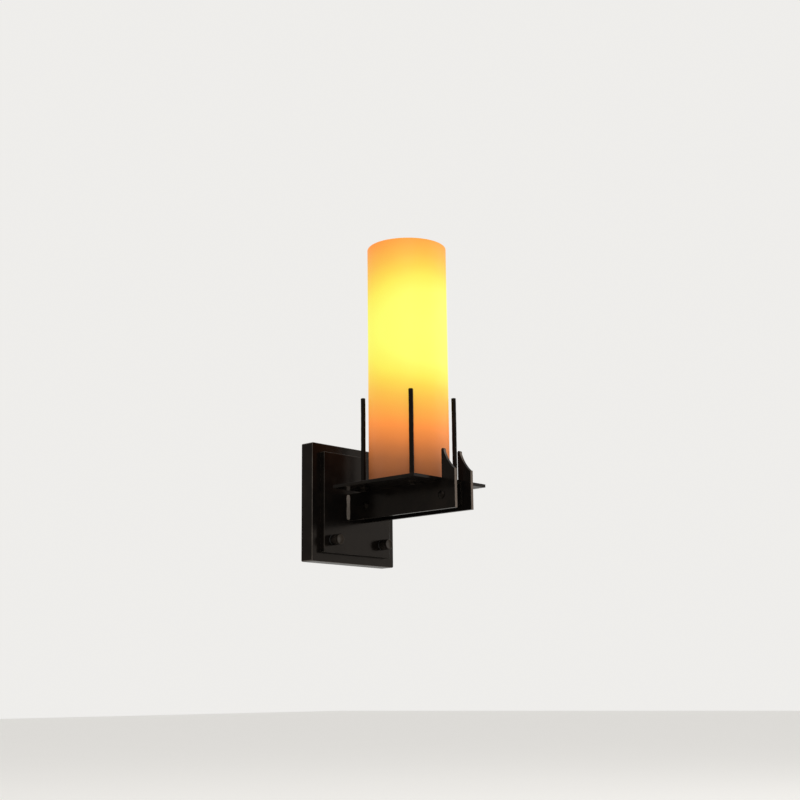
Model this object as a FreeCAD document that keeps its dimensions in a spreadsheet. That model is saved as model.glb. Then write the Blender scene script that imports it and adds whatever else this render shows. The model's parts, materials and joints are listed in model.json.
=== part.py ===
"""Torch wall sconce: a black iron bracket that carries a tall opal glass tube.

Frame: X to the right, Y into the wall and Z up, seen by someone facing the wall. The wall is
the plane Y = 0, and the origin is the centre of the wall box's back. Lengths are millimetres.
"""
import FreeCAD, Part
import math
import os
import Sketcher

OUTPUT_FOLDER = "parts"
ORIGIN_VERTEX = -1
CENTRE = 3

DRIVING_SIZES = [
    # wall box and the raised panel on its front
    ("pan_width", 147), ("pan_height", 148), ("pan_depth", 19), ("sheet_gauge", 1.5),
    ("pan_corner", 2), ("panel_width", 119), ("panel_height", 126), ("panel_depth", 7),
    ("panel_stud_x", 50), ("panel_stud_z", 54), ("small_thread", 4), ("thread_gap", 0.4),
    # hanging bracket behind the box
    ("bracket_gauge", 2), ("bracket_width", 84), ("bracket_foot", 66), ("ear_span", 112),
    ("ear_offset", 5), ("ear_low", 58), ("ear_high", 34), ("lip_reach", 12), ("lip_width", 60),
    ("slot_pitch", 60), ("slot_length", 16), ("slot_width", 5), ("wall_hole_pitch", 92),
    ("cable_hole", 20), ("cable_hole_z", 18),
    # studs and thumb nuts
    ("stud_pitch", 88), ("stud_drop", 47), ("stud_reach", 36),
    ("thumb_diameter", 13.5), ("thumb_length", 12.6), ("washer_gauge", 0.8),
    # two-bar arm with horned ends
    ("arm_width", 34), ("bar_gauge", 4), ("bar_drop", 21), ("bar_rise", 13),
    ("arm_reach", 202), ("horn_rise", 52), ("horn_width", 4), ("horn_shoulder", 26),
    ("horn_depth", 20), ("horn_ledge", 1), ("horn_scoop", 50), ("weld_leg", 3.5),
    ("tie_thread", 5), ("tie_rear", 57), ("tie_front", 181), ("tie_drop", 4),
    # tray, its carrier and the four rods
    ("tray_side", 133), ("tray_gauge", 4), ("tray_reach", 115), ("carrier_gauge", 2),
    ("carrier_drop", 14), ("carrier_margin", 7), ("tray_screw_pitch", 60),
    ("rod_diameter", 6), ("rod_pitch", 80), ("rod_top", 126),
    # stem and lampholder
    ("nipple_diameter", 10), ("nipple_bore", 7), ("stem_diameter", 14), ("stem_height", 80),
    ("holder_diameter", 40), ("holder_cap_height", 19), ("holder_body_height", 34),
    ("insert_diameter", 33), ("insert_depth", 8), ("shell_bore", 26.9), ("shell_gauge", 0.5),
    ("shell_height", 27),
    # bulb
    ("bulb_seat", 127), ("bulb_length", 108), ("bulb_diameter", 60), ("bulb_glass", 0.8),
    ("neck_diameter", 26), ("cap_diameter", 26.2), ("cap_gauge", 0.5), ("cap_low", 5),
    ("cap_high", 24),
    # glass shade
    ("glass_diameter", 100), ("glass_wall", 3), ("glass_top", 320), ("seat_gauge", 1),
]


class Size:
    """A length that knows its value and the spreadsheet formula that drives it."""

    def __init__(self, value, formula):
        self.value = float(value)
        self.formula = formula

    @staticmethod
    def of(number):
        if isinstance(number, Size):
            return number
        return Size(number, f"{number:.6g}" if number >= 0 else f"(0 - {-number:.6g})")

    def _with(self, other, value, sign):
        return Size(value, f"({self.formula} {sign} {Size.of(other).formula})")

    def __add__(self, other):
        return self._with(other, self.value + Size.of(other).value, "+")

    def __radd__(self, other):
        return Size.of(other) + self

    def __sub__(self, other):
        return self._with(other, self.value - Size.of(other).value, "-")

    def __rsub__(self, other):
        return Size.of(other) - self

    def __mul__(self, other):
        return self._with(other, self.value * Size.of(other).value, "*")

    def __rmul__(self, other):
        return Size.of(other) * self

    def __truediv__(self, other):
        return self._with(other, self.value / Size.of(other).value, "/")

    def __neg__(self):
        return Size.of(0) - self


class SizeSheet:
    """The spreadsheet's cells, read by their aliases."""

    def __init__(self, document, cells):
        self.sheet = document.addObject("Spreadsheet::Sheet", "Sizes")
        for row, (alias, value) in enumerate(cells, start=1):
            self.sheet.set(f"A{row}", alias)
            self.sheet.set(f"B{row}", f"{value:g}")
            self.sheet.setAlias(f"B{row}", alias)
        document.recompute()

    def __getattr__(self, alias):
        return Size(self.sheet.get(alias), f"Sizes.{alias}")


doc = FreeCAD.newDocument("TorchSconce")
S = SizeSheet(doc, DRIVING_SIZES)
parts = {}


# ---------------------------------------------------------------- building blocks

def vector(x=0.0, y=0.0, z=0.0):
    return FreeCAD.Vector(x, y, z)


def bind(item, path, size):
    item.setExpression(path, Size.of(size).formula)


def place(item, x=0, y=0, z=0, axis=None, angle=0):
    """Moves an object to a driven position, turned about one axis."""
    turn = FreeCAD.Rotation(axis, angle) if axis else FreeCAD.Rotation()
    item.Placement = FreeCAD.Placement(vector(), turn)
    for name, size in (("x", x), ("y", y), ("z", z)):
        bind(item, f"Placement.Base.{name}", size)


def new_body(label, keep=True):
    body = doc.addObject("PartDesign::Body", label)
    body.Label = label
    if keep:
        parts[label] = body
    return body


def new_sketch(body, name, role, offset=0):
    """A sketch on one of the body's origin planes, moved along that plane's normal."""
    sketch = body.newObject("Sketcher::SketchObject", f"{body.Label}_{name}")
    origin_plane = next(item for item in body.Origin.OriginFeatures if item.Role == role)
    sketch.AttachmentSupport = [(origin_plane, "")]
    sketch.MapMode = "FlatFace"
    bind(sketch, "AttachmentOffset.Base.z", offset)
    return sketch


def drive(sketch, kind, geometry, vertex, size):
    """Dimensions one vertex from the sketch's origin, driven by the spreadsheet."""
    size = Size.of(size)
    index = sketch.addConstraint(Sketcher.Constraint(kind, ORIGIN_VERTEX, 1, geometry, vertex, size.value))
    bind(sketch, f"Constraints[{index}]", size)


def draw_outline(sketch, points, bulges=None):
    """A closed outline through driven points.

    bulges maps an edge's number to (radius, side): that edge is an arc, on the left (+1) or
    the right (-1) of the way from its first point to its next. A radius of None is half a
    circle over the edge.
    """
    bulges = bulges or {}
    corners = [(Size.of(x), Size.of(y)) for x, y in points]
    spots = [vector(x.value, y.value) for x, y in corners]
    edges = []
    for number, start in enumerate(spots):
        end = spots[(number + 1) % len(spots)]
        if number in bulges:
            radius, side = bulges[number]
            edges.append(arc_through(start, end, radius, side))
        else:
            edges.append((Part.LineSegment(start, end), 1, 2))
    ids = [sketch.addGeometry(curve, False) for curve, first, last in edges]
    for number, (curve, first, last) in enumerate(edges):
        following = following_number(number, spots)
        sketch.addConstraint(Sketcher.Constraint(
            "Coincident", ids[number], last, ids[following], edges[following][1]))
    for number, (curve, first, last) in enumerate(edges):
        drive(sketch, "DistanceX", ids[number], first, corners[number][0])
        drive(sketch, "DistanceY", ids[number], first, corners[number][1])
        if number in bulges and bulges[number][0] is not None:
            radius = Size.of(bulges[number][0])
            index = sketch.addConstraint(Sketcher.Constraint("Radius", ids[number], radius.value))
            bind(sketch, f"Constraints[{index}]", radius)
        elif number in bulges:
            following = following_number(number, spots)
            chord = spots[following] - spots[number]
            across = 0 if abs(chord.y) > abs(chord.x) else 1
            middle = (corners[number][across] + corners[following][across]) / 2
            drive(sketch, ("DistanceX", "DistanceY")[across], ids[number], CENTRE, middle)


def following_number(number, spots):
    return (number + 1) % len(spots)


def arc_through(start, end, radius, side):
    """An arc of up to half a circle, with the numbers of its vertices at start and end."""
    chord = end - start
    half = chord.Length / 2
    radius = half if radius is None else Size.of(radius).value
    towards_bulge = vector(-chord.y, chord.x).normalize() * side
    depth = max(radius ** 2 - half ** 2, 0) ** 0.5
    centre = start + chord / 2 - towards_bulge * depth
    first, last = (start, end) if side < 0 else (end, start)
    angles = [math.atan2(spot.y - centre.y, spot.x - centre.x) for spot in (first, last)]
    arc = Part.ArcOfCircle(Part.Circle(centre, vector(0, 0, 1), radius), *angles)
    return (arc, 1, 2) if side < 0 else (arc, 2, 1)


def draw_box(sketch, x_low, x_high, y_low, y_high):
    draw_outline(sketch, [(x_low, y_low), (x_high, y_low), (x_high, y_high), (x_low, y_high)])


def draw_circle(sketch, x, y, diameter):
    x, y, radius = Size.of(x), Size.of(y), Size.of(diameter) / 2
    centre = vector(x.value, y.value)
    ring = sketch.addGeometry(Part.Circle(centre, vector(0, 0, 1), radius.value), False)
    index = sketch.addConstraint(Sketcher.Constraint("Radius", ring, radius.value))
    bind(sketch, f"Constraints[{index}]", radius)
    drive(sketch, "DistanceX", ring, CENTRE, x)
    drive(sketch, "DistanceY", ring, CENTRE, y)


def draw_slot(sketch, x, y, length, width):
    """A round-ended slot along the sketch's first axis."""
    reach = (length - width) / 2
    points = [(x - reach, y - width / 2), (x + reach, y - width / 2),
              (x + reach, y + width / 2), (x - reach, y + width / 2)]
    draw_outline(sketch, points, {1: (None, -1), 3: (None, -1)})


def extrude(body, sketch, length, reverse=False, both=False):
    pad = body.newObject("PartDesign::Pad", f"{sketch.Label}_pad")
    pad.Profile = sketch
    bind(pad, "Length", length)
    pad.Reversed = reverse
    pad.Midplane = both
    doc.recompute()
    return pad


def cut(body, sketch, length, reverse=False, both=False):
    """A pocket that has to take material away."""
    before = body.Shape.Volume
    pocket = body.newObject("PartDesign::Pocket", f"{sketch.Label}_pocket")
    pocket.Profile = sketch
    bind(pocket, "Length", length)
    pocket.Reversed = reverse
    pocket.Midplane = both
    doc.recompute()
    if not body.Shape.Volume < before:
        raise RuntimeError(f"{sketch.Label} cuts nothing")
    return pocket


def revolve(body, sketch):
    """A full turn about the sketch's own vertical axis."""
    turned = body.newObject("PartDesign::Revolution", f"{sketch.Label}_turn")
    turned.Profile = sketch
    turned.ReferenceAxis = (sketch, ["V_Axis"])
    turned.Angle = 360
    doc.recompute()
    return turned


def round_edges(body, feature, radius, wanted):
    """Rounds the feature's edges that the test function accepts."""
    names = [f"Edge{number}" for number, edge in enumerate(feature.Shape.Edges, start=1)
             if wanted(edge)]
    fillet = body.newObject("PartDesign::Fillet", f"{feature.Label}_round")
    fillet.Base = (feature, names)
    bind(fillet, "Radius", radius)
    doc.recompute()
    return fillet


def is_straight(edge):
    return edge.Curve.TypeId == "Part::GeomLine"


def runs_along(edge, axis):
    """True for a straight edge parallel to an axis."""
    return is_straight(edge) and abs(abs(edge.Curve.Direction.dot(axis)) - 1) < 1e-6


def in_plane_y(edge, depth):
    return abs(edge.BoundBox.YMin + depth) < 1e-3 and abs(edge.BoundBox.YMax + depth) < 1e-3


def turned_body(label, profile, bulges=None, keep=True):
    """A round piece from its half section, given as (radius, height) points about Z."""
    body = new_body(label, keep)
    sketch = new_sketch(body, "half_section", "XZ_Plane")
    draw_outline(sketch, profile, bulges)
    revolve(body, sketch)
    return body


def hex_nut(label, across_flats, height, bore):
    """A plain hexagon nut that stands on Z = 0."""
    hexagon = doc.addObject("Part::Prism", f"{label}_hexagon")
    hexagon.Polygon = 6
    bind(hexagon, "Circumradius", Size.of(across_flats) / (3 ** 0.5))
    bind(hexagon, "Height", height)
    hole = doc.addObject("Part::Cylinder", f"{label}_bore")
    bind(hole, "Radius", Size.of(bore) / 2)
    bind(hole, "Height", height)
    nut = doc.addObject("Part::Cut", label)
    nut.Base = hexagon
    nut.Tool = hole
    return nut


def group(label, master, spots, axis=None, angle=0):
    """Identical fasteners: one master, linked to each of its places."""
    links = []
    for number, (x, y, z) in enumerate(spots, start=1):
        link = doc.addObject("App::Link", f"{label}_{number}")
        link.LinkedObject = master
        place(link, x, y, z, axis, angle)
        links.append(link)
    together = doc.addObject("Part::Compound", label)
    together.Label = label
    together.Links = links
    parts[label] = together
    return together


def side_name(side):
    return "left" if side < 0 else "right"


def both_sides(x, y, z):
    return [(-x, y, z), (x, y, z)]


TO_FRONT = (vector(1, 0, 0), 90)     # turns +Z to -Y, out of the wall
TO_WALL = (vector(1, 0, 0), -90)     # turns +Z to +Y, into the wall
TO_RIGHT = (vector(0, 1, 0), 90)     # turns +Z to +X

# ---------------------------------------------------------------- shared places

panel_back = S.pan_depth
panel_front = S.pan_depth + S.panel_depth
bar_inside = S.arm_width / 2 - S.bar_gauge
tray_top = S.bar_rise + S.tray_gauge
web_bottom = S.bar_rise - S.carrier_gauge
stem_top = tray_top + S.stem_height
stud_hole = S.small_thread + 0.6
panel_stud_hole = S.small_thread + S.thread_gap
panel_stud_spots = [(x * S.panel_stud_x, z * S.panel_stud_z) for x in (-1, 1) for z in (-1, 1)]
earth_x, earth_z = Size.of(27), Size.of(34)
block_x, block_z, block_pole = Size.of(-27), Size.of(36), Size.of(10)
block_fixings = [(block_x, block_z - block_pole / 2), (block_x, block_z + block_pole / 2)]
fixing_thread = Size.of(2.5)


# ---------------------------------------------------------------- hanging bracket

def build_bracket():
    """Folded plate: slotted middle on the wall, offset ears for the studs, a lip on top."""
    body = new_body("wall_bracket")
    lip_top = S.pan_height / 2 - S.sheet_gauge - 0.3
    outline = new_sketch(body, "plate", "XZ_Plane")
    draw_outline(outline, [
        (-S.bracket_foot / 2, -S.ear_low), (S.bracket_foot / 2, -S.ear_low),
        (S.bracket_foot / 2, -S.ear_high + 6), (S.bracket_width / 2, -S.ear_high + 12),
        (S.bracket_width / 2, lip_top), (-S.bracket_width / 2, lip_top),
        (-S.bracket_width / 2, -S.ear_high + 12), (-S.bracket_foot / 2, -S.ear_high + 6)])
    extrude(body, outline, S.bracket_gauge)

    lip = new_sketch(body, "lip", "XZ_Plane")
    draw_box(lip, -S.lip_width / 2, S.lip_width / 2, lip_top - S.bracket_gauge, lip_top)
    extrude(body, lip, S.lip_reach)

    for side in (-1, 1):
        ear = new_sketch(body, f"ear_{side_name(side)}", "XY_Plane", -S.ear_low)
        bend = S.bracket_foot / 2
        draw_outline(ear, [
            (side * (bend - 1), 0), (side * bend, 0), (side * (bend + S.ear_offset), -S.ear_offset),
            (side * S.ear_span / 2, -S.ear_offset),
            (side * S.ear_span / 2, -S.ear_offset - S.bracket_gauge),
            (side * (bend + S.ear_offset - 0.8), -S.ear_offset - S.bracket_gauge),
            (side * (bend - 0.8), -S.bracket_gauge), (side * (bend - 1), -S.bracket_gauge)])
        extrude(body, ear, S.ear_low - S.ear_high)

    holes = new_sketch(body, "holes", "XZ_Plane")
    for side in (-1, 1):
        draw_slot(holes, side * S.slot_pitch / 2, 0, S.slot_length, S.slot_width)
        draw_circle(holes, 0, side * S.wall_hole_pitch / 2, S.slot_width)
        draw_circle(holes, side * S.stud_pitch / 2, -S.stud_drop, S.small_thread + 0.1)
    draw_circle(holes, 0, S.cable_hole_z, S.cable_hole)
    draw_circle(holes, earth_x, earth_z, S.small_thread + 0.1)
    for x, z in block_fixings:
        draw_circle(holes, x, z, fixing_thread + 0.1)
    cut(body, holes, 2 * (S.ear_offset + S.bracket_gauge), both=True)
    outer = body.Tip
    ends = S.ear_span.value / 2
    round_edges(body, outer, 3, lambda edge: runs_along(edge, vector(0, 1, 0))
                and abs(abs(edge.BoundBox.XMin) - ends) < 1e-3)


def build_studs():
    """Round-headed screws that stand out of the ears, each locked by a nut."""
    head, head_height = 8, 2.4
    thread = S.small_thread / 2
    length = S.stud_reach - S.ear_offset
    screw = turned_body("stud_master", [
        (0, -head_height), (2, -head_height), (head / 2, -0.9), (head / 2, 0), (thread, 0),
        (thread, length - 0.6), (thread - 0.6, length), (0, length)], {1: (3.2, -1)}, keep=False)
    group("bracket_studs", screw, both_sides(S.stud_pitch / 2, -S.ear_offset, -S.stud_drop), *TO_FRONT)
    nut = hex_nut("stud_nut_master", 7, 3.2, S.small_thread + 0.1)
    group("stud_lock_nuts", nut, both_sides(
        S.stud_pitch / 2, -S.ear_offset - S.bracket_gauge, -S.stud_drop), *TO_FRONT)


def build_thumb_nuts():
    """Blind round nuts, each on a captive washer."""
    radius = S.thumb_diameter / 2
    blind = S.thumb_length - 1.6
    bore = S.small_thread / 2 + 0.05
    for side, name in ((-1, "left"), (1, "right")):
        x = side * S.stud_pitch / 2
        washer = turned_body(f"nut_washer_{name}", [
            (bore + 0.1, 0), (radius - 0.3, 0), (radius - 0.3, S.washer_gauge),
            (bore + 0.1, S.washer_gauge)])
        place(washer, x, -panel_front, -S.stud_drop, *TO_FRONT)
        nut = turned_body(f"thumb_nut_{name}", [
            (bore, 0), (radius, 0), (radius, S.thumb_length - 0.8),
            (radius - 0.8, S.thumb_length), (0, S.thumb_length), (0, blind), (bore, blind)])
        place(nut, x, -panel_front - S.washer_gauge, -S.stud_drop, *TO_FRONT)


# ---------------------------------------------------------------- mains connection

def build_terminals():
    """Three-pole block with brass tubes and two clamping screws a pole, and an earth screw."""
    length, width, height = 3 * block_pole, 18, 12
    tube_radius, wire_radius, tube_height, floor = 2.7, 1.6, 5, 4
    base = S.bracket_gauge
    poles = [block_z - block_pole, block_z, block_z + block_pole]
    body = new_body("terminal_block")
    blank = new_sketch(body, "blank", "XZ_Plane", base)
    draw_box(blank, block_x - width / 2, block_x + width / 2, block_z - length / 2, block_z + length / 2)
    extrude(body, blank, height)
    notches = new_sketch(body, "notches", "XZ_Plane", base + height)
    for side in (-1, 1):
        middle = block_z + side * block_pole / 2
        draw_box(notches, block_x - width / 2 - 1, block_x + width / 2 + 1, middle - 1.2, middle + 1.2)
    cut(body, notches, height - floor)
    ways = new_sketch(body, "wire_ways", "YZ_Plane", block_x)
    for z in poles:
        draw_circle(ways, -base - tube_height, z, 2 * tube_radius)
    cut(body, ways, width + 2, both=True)
    drillings = new_sketch(body, "screw_wells", "XZ_Plane", base + height)
    for z in poles:
        for side in (-1, 1):
            draw_circle(drillings, block_x + side * 4.5, z, 3.6)
    cut(body, drillings, height - tube_height)
    for name, diameter, depth in (("fixing_wells", 4.5, height - floor), ("fixing_holes", 2.7, height)):
        holes = new_sketch(body, name, "XZ_Plane", base + height)
        for x, z in block_fixings:
            draw_circle(holes, x, z, diameter)
        cut(body, holes, depth)

    tube = new_body("terminal_tube_master", keep=False)
    ring = new_sketch(tube, "ring", "YZ_Plane")
    draw_circle(ring, 0, 0, 2 * tube_radius)
    draw_circle(ring, 0, 0, 2 * wire_radius)
    extrude(tube, ring, width - 2, both=True)
    taps = new_sketch(tube, "taps", "XZ_Plane")
    for side in (-1, 1):
        draw_circle(taps, side * 4.5, 0, 2.7)
    cut(tube, taps, 2 * tube_radius, reverse=True)
    group("terminal_tubes", tube, [(block_x, -base - tube_height, z) for z in poles])

    screw = turned_body("clamp_screw_master", [
        (0, 0), (1.3, 0), (1.3, 3.4), (1.6, 3.4), (1.6, 5.2), (0, 5.2)], keep=False)
    spots = [(block_x + side * 4.5, -base - tube_height - 0.4, z) for z in poles for side in (-1, 1)]
    group("terminal_screws", screw, spots, *TO_FRONT)

    fixing = turned_body("block_screw_master", [
        (0, -1.9), (fixing_thread / 2, -1.9), (fixing_thread / 2, floor), (2.1, floor),
        (2.1, floor + 1), (1.4, floor + 1.6), (0, floor + 1.6)], keep=False)
    group("terminal_block_screws", fixing, [(x, -base, z) for x, z in block_fixings], *TO_FRONT)

    earth = turned_body("earth_screw", [
        (0, -1.9), (2, -1.9), (2, 0.8), (4, 0.8), (4, 2.6), (3.2, 3.4), (0, 3.4)])
    place(earth, earth_x, -base, earth_z, *TO_FRONT)
    cup = turned_body("earth_washer", [(2.1, 0), (4.6, 0), (4.6, 0.8), (2.1, 0.8)])
    place(cup, earth_x, -base, earth_z, *TO_FRONT)


# ---------------------------------------------------------------- wall box and panel

def build_pan():
    """Square pressed box, open to the wall."""
    body = new_body("wall_pan")
    half_width, half_height = S.pan_width / 2, S.pan_height / 2
    block = new_sketch(body, "block", "XZ_Plane")
    draw_box(block, -half_width, half_width, -half_height, half_height)
    blank = extrude(body, block, S.pan_depth)
    corners = round_edges(body, blank, S.pan_corner, lambda edge: runs_along(edge, vector(0, 1, 0)))
    round_edges(body, corners, 1, lambda edge: in_plane_y(edge, S.pan_depth.value))
    hollow = new_sketch(body, "hollow", "XZ_Plane")
    draw_box(hollow, -half_width + S.sheet_gauge, half_width - S.sheet_gauge,
             -half_height + S.sheet_gauge, half_height - S.sheet_gauge)
    cut(body, hollow, S.pan_depth - S.sheet_gauge, reverse=True)
    holes = new_sketch(body, "holes", "XZ_Plane", S.pan_depth)
    for x, y, z in both_sides(S.stud_pitch / 2, 0, -S.stud_drop):
        draw_circle(holes, x, z, stud_hole)
    for x, z in panel_stud_spots:
        draw_circle(holes, x, z, panel_stud_hole)
    draw_circle(holes, 0, -S.tie_drop, 18)
    cut(body, holes, 2 * S.sheet_gauge, both=True)


def build_panel():
    """Raised shallow panel with four studs that hold it to the box."""
    body = new_body("face_panel")
    half_width, half_height = S.panel_width / 2, S.panel_height / 2
    block = new_sketch(body, "block", "XZ_Plane", panel_back)
    draw_box(block, -half_width, half_width, -half_height, half_height)
    blank = extrude(body, block, S.panel_depth)
    corners = round_edges(body, blank, 1.5, lambda edge: runs_along(edge, vector(0, 1, 0)))
    round_edges(body, corners, 0.8, lambda edge: in_plane_y(edge, panel_front.value))
    hollow = new_sketch(body, "hollow", "XZ_Plane", panel_back)
    draw_box(hollow, -half_width + S.sheet_gauge, half_width - S.sheet_gauge,
             -half_height + S.sheet_gauge, half_height - S.sheet_gauge)
    cut(body, hollow, S.panel_depth - S.sheet_gauge, reverse=True)
    studs = new_sketch(body, "studs", "XZ_Plane", panel_front - S.sheet_gauge)
    for x, z in panel_stud_spots:
        draw_circle(studs, x, z, S.small_thread)
    extrude(body, studs, panel_front - S.sheet_gauge - 12.5, reverse=True)
    holes = new_sketch(body, "holes", "XZ_Plane", panel_front)
    for x, y, z in both_sides(S.stud_pitch / 2, 0, -S.stud_drop):
        draw_circle(holes, x, z, stud_hole)
    draw_circle(holes, 0, -S.tie_drop, 12)
    cut(body, holes, 2 * S.sheet_gauge, both=True)

    nut = hex_nut("panel_nut_master", 7, 3.2, S.small_thread + 0.1)
    inside = -(S.pan_depth - S.sheet_gauge)
    group("panel_nuts", nut, [(x, inside, z) for x, z in panel_stud_spots], *TO_WALL)

    sheet = S.sheet_gauge
    grommet = turned_body("cable_grommet", [
        (3.5, -2), (7, -2), (8, -1), (8, 0), (6, 0), (6, sheet), (8, sheet), (8, sheet + 1),
        (7, sheet + 2), (3.5, sheet + 2)])
    place(grommet, 0, -panel_front + S.sheet_gauge, -S.tie_drop, *TO_FRONT)


# ---------------------------------------------------------------- arm

def build_arm_side(label, x):
    """Flat bar whose front end rises into a scooped horn with a round tip."""
    body = new_body(label)
    profile = new_sketch(body, "profile", "YZ_Plane", x)
    horn_back = S.arm_reach - S.horn_depth
    horn_front = horn_back + S.horn_width
    tip_start = S.horn_rise - S.horn_width / 2
    draw_outline(profile, [
        (-panel_front, -S.bar_drop), (-panel_front, S.bar_rise), (-horn_back, S.bar_rise),
        (-horn_back, tip_start), (-horn_front, tip_start), (-horn_front, tip_start - 1.5),
        (-S.arm_reach + S.horn_ledge, S.horn_shoulder), (-S.arm_reach, S.horn_shoulder),
        (-S.arm_reach, -S.bar_drop)],
        {3: (None, -1), 5: (S.horn_scoop, 1)})
    extrude(body, profile, S.bar_gauge)
    ties = new_sketch(body, "tie_holes", "YZ_Plane", x)
    for depth in (S.tie_rear, S.tie_front):
        draw_circle(ties, -depth, -S.tie_drop, S.tie_thread + 0.3)
    cut(body, ties, 3 * S.bar_gauge, both=True)


def build_arm():
    build_arm_side("arm_side_left", -S.arm_width / 2)
    build_arm_side("arm_side_right", bar_inside)

    bead = new_body("weld_master", keep=False)
    section = new_sketch(bead, "section", "XY_Plane", -S.bar_drop + 1)
    outside = S.arm_width / 2
    draw_outline(section, [
        (outside, -panel_front), (outside, -panel_front - S.weld_leg),
        (outside + S.weld_leg, -panel_front)], {1: (5, -1)})
    extrude(bead, section, S.bar_drop + S.bar_rise - 2)
    mirrored = doc.addObject("Part::Mirroring", "weld_mirrored")
    mirrored.Source = bead
    mirrored.Normal = vector(1, 0, 0)
    beads = doc.addObject("Part::Compound", "arm_weld_beads")
    beads.Links = [bead, mirrored]
    parts["arm_weld_beads"] = beads

    radius = S.tie_thread / 2
    length = S.arm_width + 5
    bolt = turned_body("tie_bolt_master", [
        (0, -3), (1.2, -3), (4.75, -0.8), (4.75, 0), (radius, 0), (radius, length - 0.6),
        (radius - 0.6, length), (0, length)], {1: (5, -1)}, keep=False)
    ties = [S.tie_rear, S.tie_front]
    group("tie_bolts", bolt, [(-S.arm_width / 2, -y, -S.tie_drop) for y in ties], *TO_RIGHT)
    cap = cap_nut("tie_cap_master")
    group("tie_cap_nuts", cap, [(S.arm_width / 2, -y, -S.tie_drop) for y in ties], *TO_RIGHT)


def cap_nut(label):
    """Hexagon nut closed by a dome, with a blind bore."""
    hexagon = doc.addObject("Part::Prism", f"{label}_hexagon")
    hexagon.Polygon = 6
    hexagon.Circumradius = 8 / 3 ** 0.5
    hexagon.Height = 4
    bore = S.tie_thread / 2 + 0.05
    dome = turned_body(f"{label}_dome", [
        (0, 2), (3.8, 2), (3.8, 4.6), (0.4, 8), (0, 8)], {2: (3.8, -1)}, keep=False)
    solid = doc.addObject("Part::Fuse", f"{label}_solid")
    solid.Base = hexagon
    solid.Tool = dome
    drill = doc.addObject("Part::Cylinder", f"{label}_bore")
    bind(drill, "Radius", bore)
    drill.Height = 6
    nut = doc.addObject("Part::Cut", label)
    nut.Base = solid
    nut.Tool = drill
    return nut


# ---------------------------------------------------------------- tray

def build_carrier():
    """Channel between the bars: the tie bolts pass through it and the tray sits on it."""
    body = new_body("tray_carrier")
    gauge = S.carrier_gauge
    section = new_sketch(body, "section", "XZ_Plane", S.tie_rear - S.carrier_margin)
    draw_outline(section, [
        (-bar_inside, -S.carrier_drop), (-bar_inside + gauge, -S.carrier_drop),
        (-bar_inside + gauge, web_bottom), (bar_inside - gauge, web_bottom),
        (bar_inside - gauge, -S.carrier_drop), (bar_inside, -S.carrier_drop),
        (bar_inside, S.bar_rise), (-bar_inside, S.bar_rise)])
    extrude(body, section, S.tie_front - S.tie_rear + 2 * S.carrier_margin)
    ties = new_sketch(body, "tie_holes", "YZ_Plane")
    for depth in (S.tie_rear, S.tie_front):
        draw_circle(ties, -depth, -S.tie_drop, S.tie_thread + 0.3)
    cut(body, ties, S.arm_width, both=True)
    web = new_sketch(body, "web_holes", "XY_Plane", S.bar_rise)
    draw_centre_holes(web)
    cut(body, web, 2 * gauge, both=True)


def draw_centre_holes(sketch):
    draw_circle(sketch, 0, -S.tray_reach, S.nipple_diameter + 0.3)
    for side in (-1, 1):
        draw_circle(sketch, 0, -S.tray_reach + side * S.tray_screw_pitch / 2, panel_stud_hole)


def rod_spots():
    half = S.rod_pitch / 2
    return {
        "front_left": (-half, -S.tray_reach - half), "front_right": (half, -S.tray_reach - half),
        "rear_left": (-half, -S.tray_reach + half), "rear_right": (half, -S.tray_reach + half)}


def build_tray():
    """Square plate with eased edges."""
    body = new_body("tray_plate")
    outline = new_sketch(body, "outline", "XY_Plane", S.bar_rise)
    half = S.tray_side / 2
    draw_box(outline, -half, half, -S.tray_reach - half, -S.tray_reach + half)
    blank = extrude(body, outline, S.tray_gauge)
    round_edges(body, blank, 0.5, lambda edge: True)
    holes = new_sketch(body, "holes", "XY_Plane", S.bar_rise)
    draw_centre_holes(holes)
    for x, y in rod_spots().values():
        draw_circle(holes, x, y, S.small_thread + 0.2)
    cut(body, holes, 3 * S.tray_gauge, both=True)

    reach = S.tray_gauge + S.carrier_gauge + 5
    radius = S.small_thread / 2
    screw = turned_body("tray_screw_master", [
        (0, 2.6), (2.6, 2.6), (4, 1.4), (4, 0), (radius, 0), (radius, -reach), (0, -reach)],
        {1: (3, 1)}, keep=False)
    pitch = S.tray_screw_pitch / 2
    group("tray_screws", screw, [(0, -S.tray_reach + side * pitch, tray_top) for side in (-1, 1)])
    nut = hex_nut("tray_nut_master", 7, 3.2, S.small_thread + 0.1)
    group("tray_screw_nuts", nut, [
        (0, -S.tray_reach + side * pitch, web_bottom - 3.2) for side in (-1, 1)])


def build_rods():
    """Four thin rods, each with a threaded tail through the tray, a washer and a nut."""
    radius, tail = S.rod_diameter / 2, S.small_thread / 2
    length = S.rod_top - tray_top
    for name, (x, y) in rod_spots().items():
        rod = turned_body(f"rod_{name}", [
            (0, -9), (tail, -9), (tail, 0), (radius, 0), (radius, length - 0.8),
            (radius - 0.8, length), (0, length)])
        place(rod, x, y, tray_top)
    washer = turned_body("rod_washer_master", [
        (tail + 0.15, -0.8), (4.5, -0.8), (4.5, 0), (tail + 0.15, 0)], keep=False)
    group("rod_washers", washer, [(x, y, S.bar_rise) for x, y in rod_spots().values()])
    nut = hex_nut("rod_nut_master", 7, 3.2, S.small_thread + 0.1)
    group("rod_nuts", nut, [(x, y, S.bar_rise - 4) for x, y in rod_spots().values()])


# ---------------------------------------------------------------- stem and lampholder

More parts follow.
